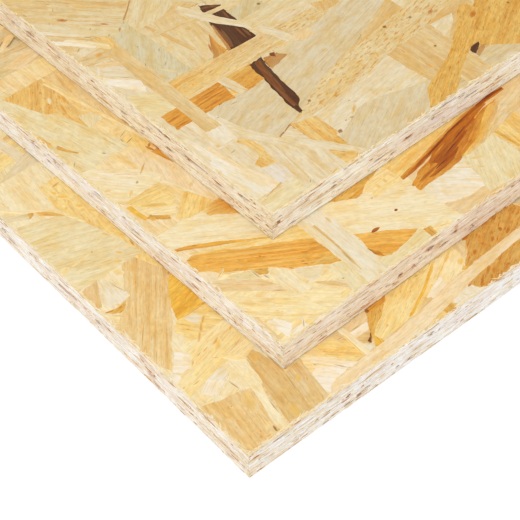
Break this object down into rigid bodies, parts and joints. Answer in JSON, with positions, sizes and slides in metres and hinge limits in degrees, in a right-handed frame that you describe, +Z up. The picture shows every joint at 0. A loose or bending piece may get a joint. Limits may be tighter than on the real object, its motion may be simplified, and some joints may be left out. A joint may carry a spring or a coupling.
{
  "type": "stack of osb panels",
  "caption": "Stack of oriented strand board panels lying flat, each set back from the one below at one corner and turned a little, with strand faces and rough sawn edges.",
  "frame": {"origin": "middle of the bottom panel's underside", "axes": "+X along the panels' length, +Y across their width, +Z up through the stack"},
  "size_m": [1.3104, 0.7295, 0.054],
  "materials": {
    "osb": "pressed strands, unsanded, with sawn edges"
  },
  "bodies": {
    "root": {"bottom_panel": "osb", "middle_panel": "osb", "top_panel": "osb"}
  },
  "joints": []
}
